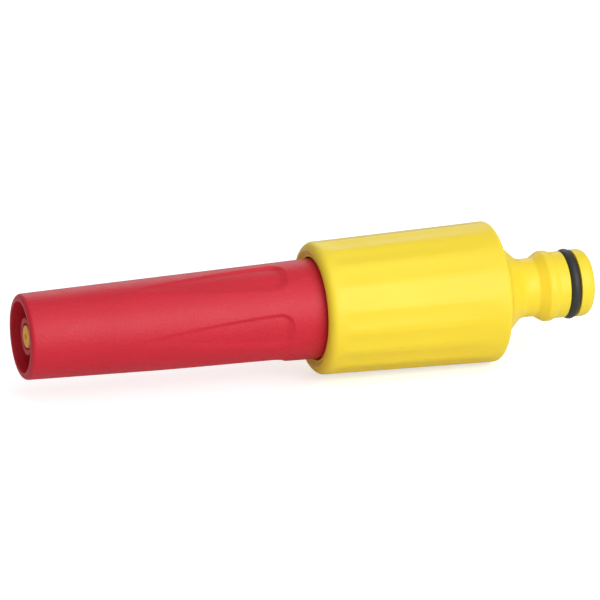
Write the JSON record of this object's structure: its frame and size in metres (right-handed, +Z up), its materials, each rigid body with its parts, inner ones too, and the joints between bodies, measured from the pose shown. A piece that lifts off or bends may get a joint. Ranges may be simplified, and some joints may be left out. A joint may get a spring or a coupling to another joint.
{
  "type": "hose spray nozzle",
  "caption": "Straight twist-adjusted garden hose spray nozzle: tapered sleeve turning on a screw inside a fluted grip, with a click-on hose spigot.",
  "frame": {"origin": "on the axis, in the end face of the inlet spigot", "axes": "+X along the axis, out of the inlet spigot; the outlet points to -X; +Z is up when the nozzle lies on its side"},
  "size_m": [0.1395, 0.0334, 0.0334],
  "materials": {
    "yellow_plastic": "satin moulded",
    "stem_plastic": "satin moulded",
    "red_plastic": "fine satin grain",
    "ring_plastic": "natural acetal",
    "seal_rubber": "smooth black"
  },
  "bodies": {
    "handle": {"grip_body": "yellow_plastic", "valve_stem": "stem_plastic", "stop_ring": "ring_plastic", "spigot_o_ring": "seal_rubber", "stem_o_ring": "seal_rubber", "root_o_ring": "seal_rubber"},
    "seat": {"seat_ring": "seal_rubber"},
    "sleeve": {"adjusting_sleeve": "red_plastic"}
  },
  "joints": [
    {"name": "sleeve_advance", "type": "slide", "parent": "handle", "child": "seat", "axis": [-1, 0, 0], "range_m": [0, 0.01]},
    {"name": "sleeve_turn", "type": "hinge", "parent": "seat", "child": "sleeve", "pos_m": [-0.05, 0, 0], "axis": [-1, 0, 0], "range_deg": [0, 450]}
  ],
  "couplings": [
    {"joint": "sleeve_advance", "follows": "sleeve_turn", "m_per_rad": 0.0012732}
  ]
}
